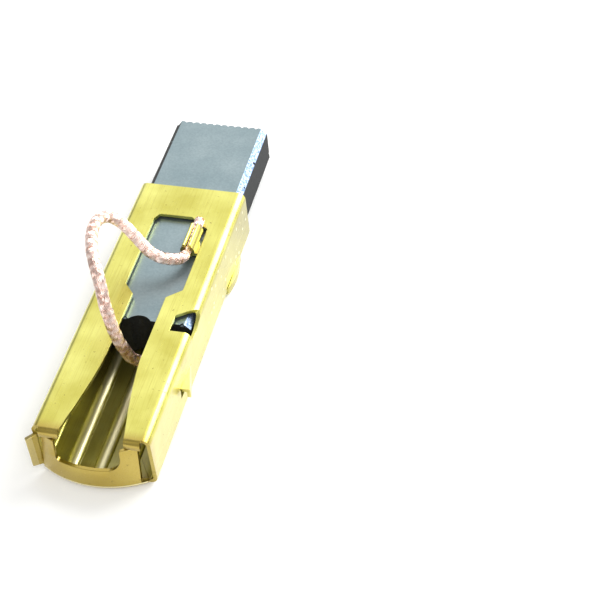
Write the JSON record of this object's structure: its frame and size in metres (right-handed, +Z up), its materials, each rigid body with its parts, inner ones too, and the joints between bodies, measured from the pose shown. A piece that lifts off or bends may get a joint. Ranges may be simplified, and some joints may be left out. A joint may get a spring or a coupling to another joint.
{
  "type": "carbon brush",
  "caption": "Carbon brush for a universal motor: a chamfered carbon block slides in a folded brass sleeve and is wired to it by a free loop of copper braid.",
  "frame": {"origin": "middle of the sleeve's mouth, on the sleeve's underside", "axes": "+Y out of the mouth towards the contact face, +Z up through the slotted top, +X towards the crimp's side"},
  "size_m": [0.0139, 0.0499, 0.0149],
  "materials": {
    "brass": "bright rolled sheet",
    "carbon": "pressed electrographite, matt with a faint sheen",
    "powder": "packed copper powder, dull",
    "copper": "bare braided copper"
  },
  "bodies": {
    "sleeve": {"brass_sleeve": "brass", "lead": "copper"},
    "carbon": {"carbon_block": "carbon", "contact_plug": "powder"}
  },
  "joints": [
    {"name": "carbon_slide", "type": "slide", "parent": "sleeve", "child": "carbon", "axis": [0, 1, 0], "range_m": [-0.011, 0.012], "deforming": ["lead"]}
  ]
}
